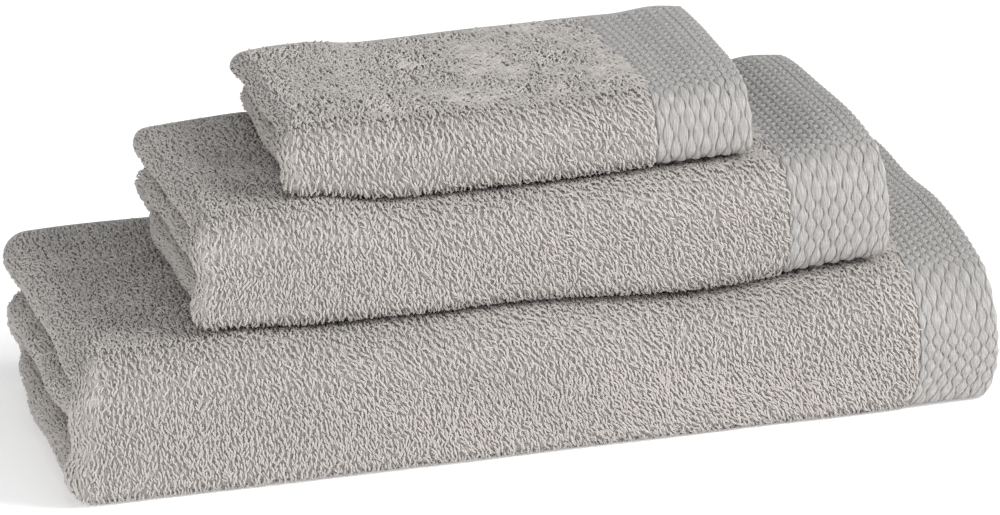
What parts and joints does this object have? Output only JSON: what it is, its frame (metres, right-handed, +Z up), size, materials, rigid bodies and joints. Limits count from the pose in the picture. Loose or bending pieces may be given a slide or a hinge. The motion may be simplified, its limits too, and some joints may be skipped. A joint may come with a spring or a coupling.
{
  "type": "bath towel set",
  "caption": "Stack of folded cotton terry towels, large to small, each with a honeycomb woven border band at one end",
  "frame": {"origin": "centre of the underside of the bath towel's box, on the surface it rests on", "axes": "+X along the towels' folded length towards their woven borders, -Y the front with the smooth folds, +Z up"},
  "size_m": [0.35, 0.214, 0.1271],
  "materials": {
    "terry": "matt looped cotton terry, warm light grey",
    "border": "matt flat-woven honeycomb cotton, warm light grey",
    "hem": "matt plain-woven cotton, turned in and lockstitched"
  },
  "bodies": {
    "bath_towel": {"bath_towel_terry_field": "terry", "bath_towel_outer_border": "border", "bath_towel_outer_end_hem": "hem", "bath_towel_inner_border": "border", "bath_towel_inner_end_hem": "hem", "bath_towel_top_side_hem": "hem", "bath_towel_inner_side_hem": "hem"},
    "hand_towel": {"hand_towel_terry_field": "terry", "hand_towel_outer_border": "border", "hand_towel_outer_end_hem": "hem", "hand_towel_inner_border": "border", "hand_towel_inner_end_hem": "hem", "hand_towel_top_side_hem": "hem", "hand_towel_inner_side_hem": "hem"},
    "guest_towel": {"guest_towel_terry_field": "terry", "guest_towel_outer_border": "border", "guest_towel_outer_end_hem": "hem", "guest_towel_inner_border": "border", "guest_towel_inner_end_hem": "hem", "guest_towel_top_side_hem": "hem", "guest_towel_inner_side_hem": "hem"}
  },
  "joints": [
    {"name": "lift_hand_towel", "type": "slide", "parent": "bath_towel", "child": "hand_towel", "axis": [0, 0, 1], "range_m": [0, 0.25]},
    {"name": "lift_guest_towel", "type": "slide", "parent": "hand_towel", "child": "guest_towel", "axis": [0, 0, 1], "range_m": [0, 0.2]}
  ]
}
